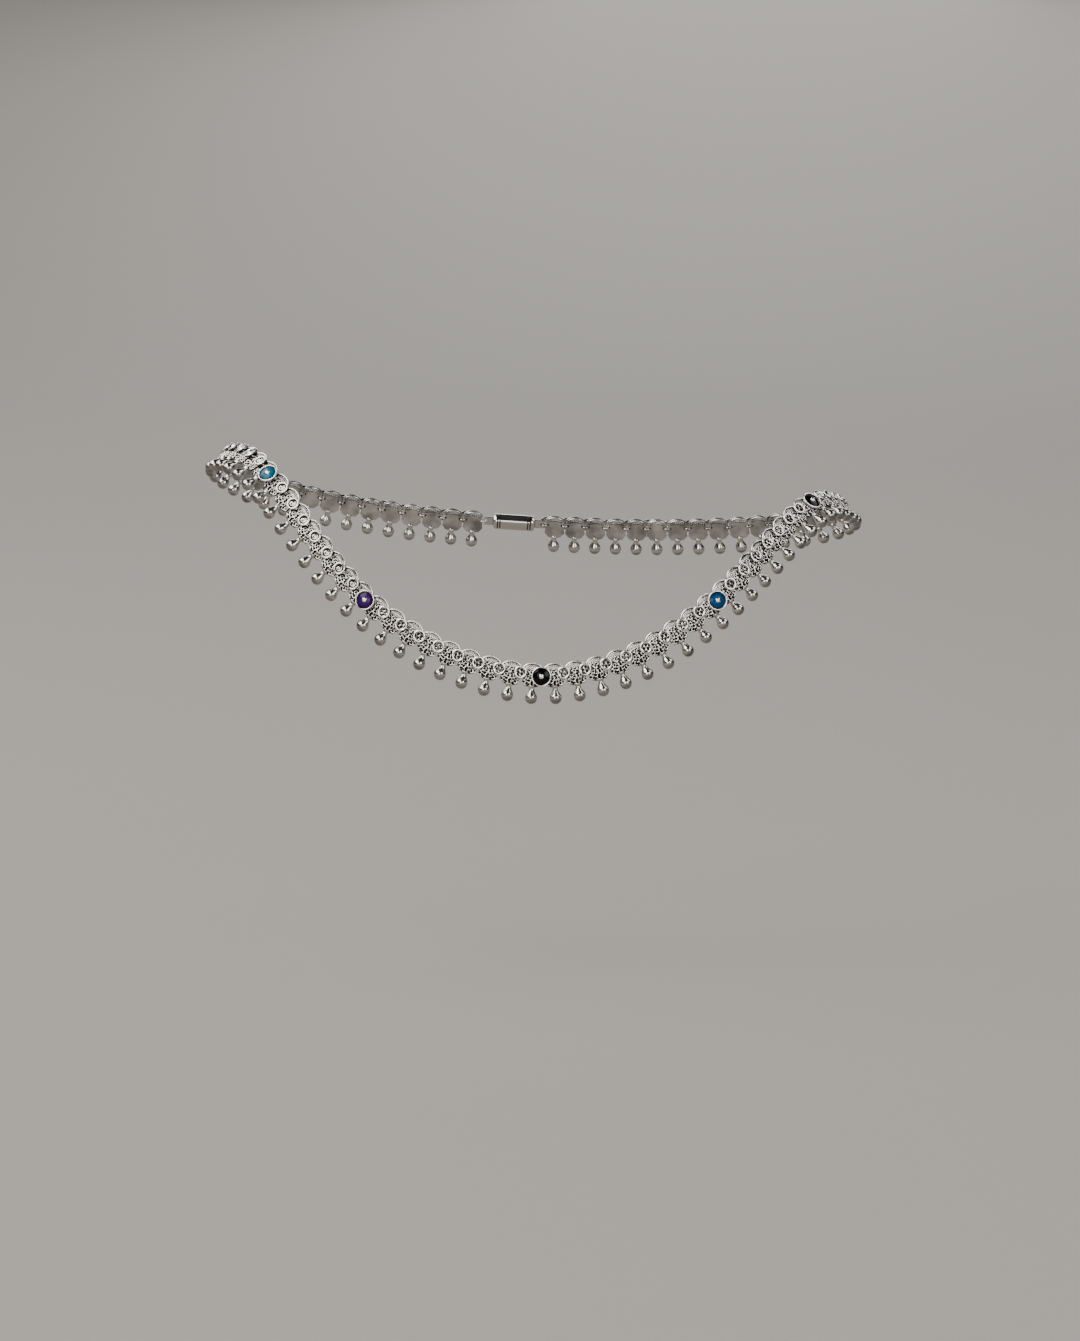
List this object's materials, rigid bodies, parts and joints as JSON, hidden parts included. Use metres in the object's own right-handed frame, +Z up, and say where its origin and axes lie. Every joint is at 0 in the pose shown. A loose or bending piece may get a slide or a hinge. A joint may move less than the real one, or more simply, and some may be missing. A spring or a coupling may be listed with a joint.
{
  "type": "anklet",
  "caption": "Silver filigree anklet: closed loop of fan links with double-wire arches, pear drops, small rosettes and round enamel dots, joined by jump rings, with a barrel clasp.",
  "frame": {"origin": "the middle of the loop, where the ankle passes, which is the point that the worn anklet is held by", "axes": "+X along the loop's widest extent to the wearer's left as seen from the front, +Y from the front stretch to the clasp at the back, +Z up"},
  "size_m": [0.1085, 0.0583, 0.0397],
  "materials": {
    "silver": "polished silver with darkened recesses",
    "enamel_black": "glossy enamel",
    "enamel_blue": "glossy enamel",
    "enamel_purple": "glossy enamel",
    "enamel_teal": "glossy enamel"
  },
  "bodies": {
    "root": {"links_right": "silver", "links_left": "silver", "rings_right": "silver", "rings_left": "silver", "clasp": "silver", "dot_front": "enamel_black", "dot_right_1": "enamel_blue", "dot_right_2": "enamel_black", "dot_right_3": "enamel_teal", "dot_right_4": "enamel_purple", "dot_left_1": "enamel_purple", "dot_left_2": "enamel_teal", "dot_left_3": "enamel_blue", "dot_left_4": "enamel_black"}
  },
  "joints": []
}
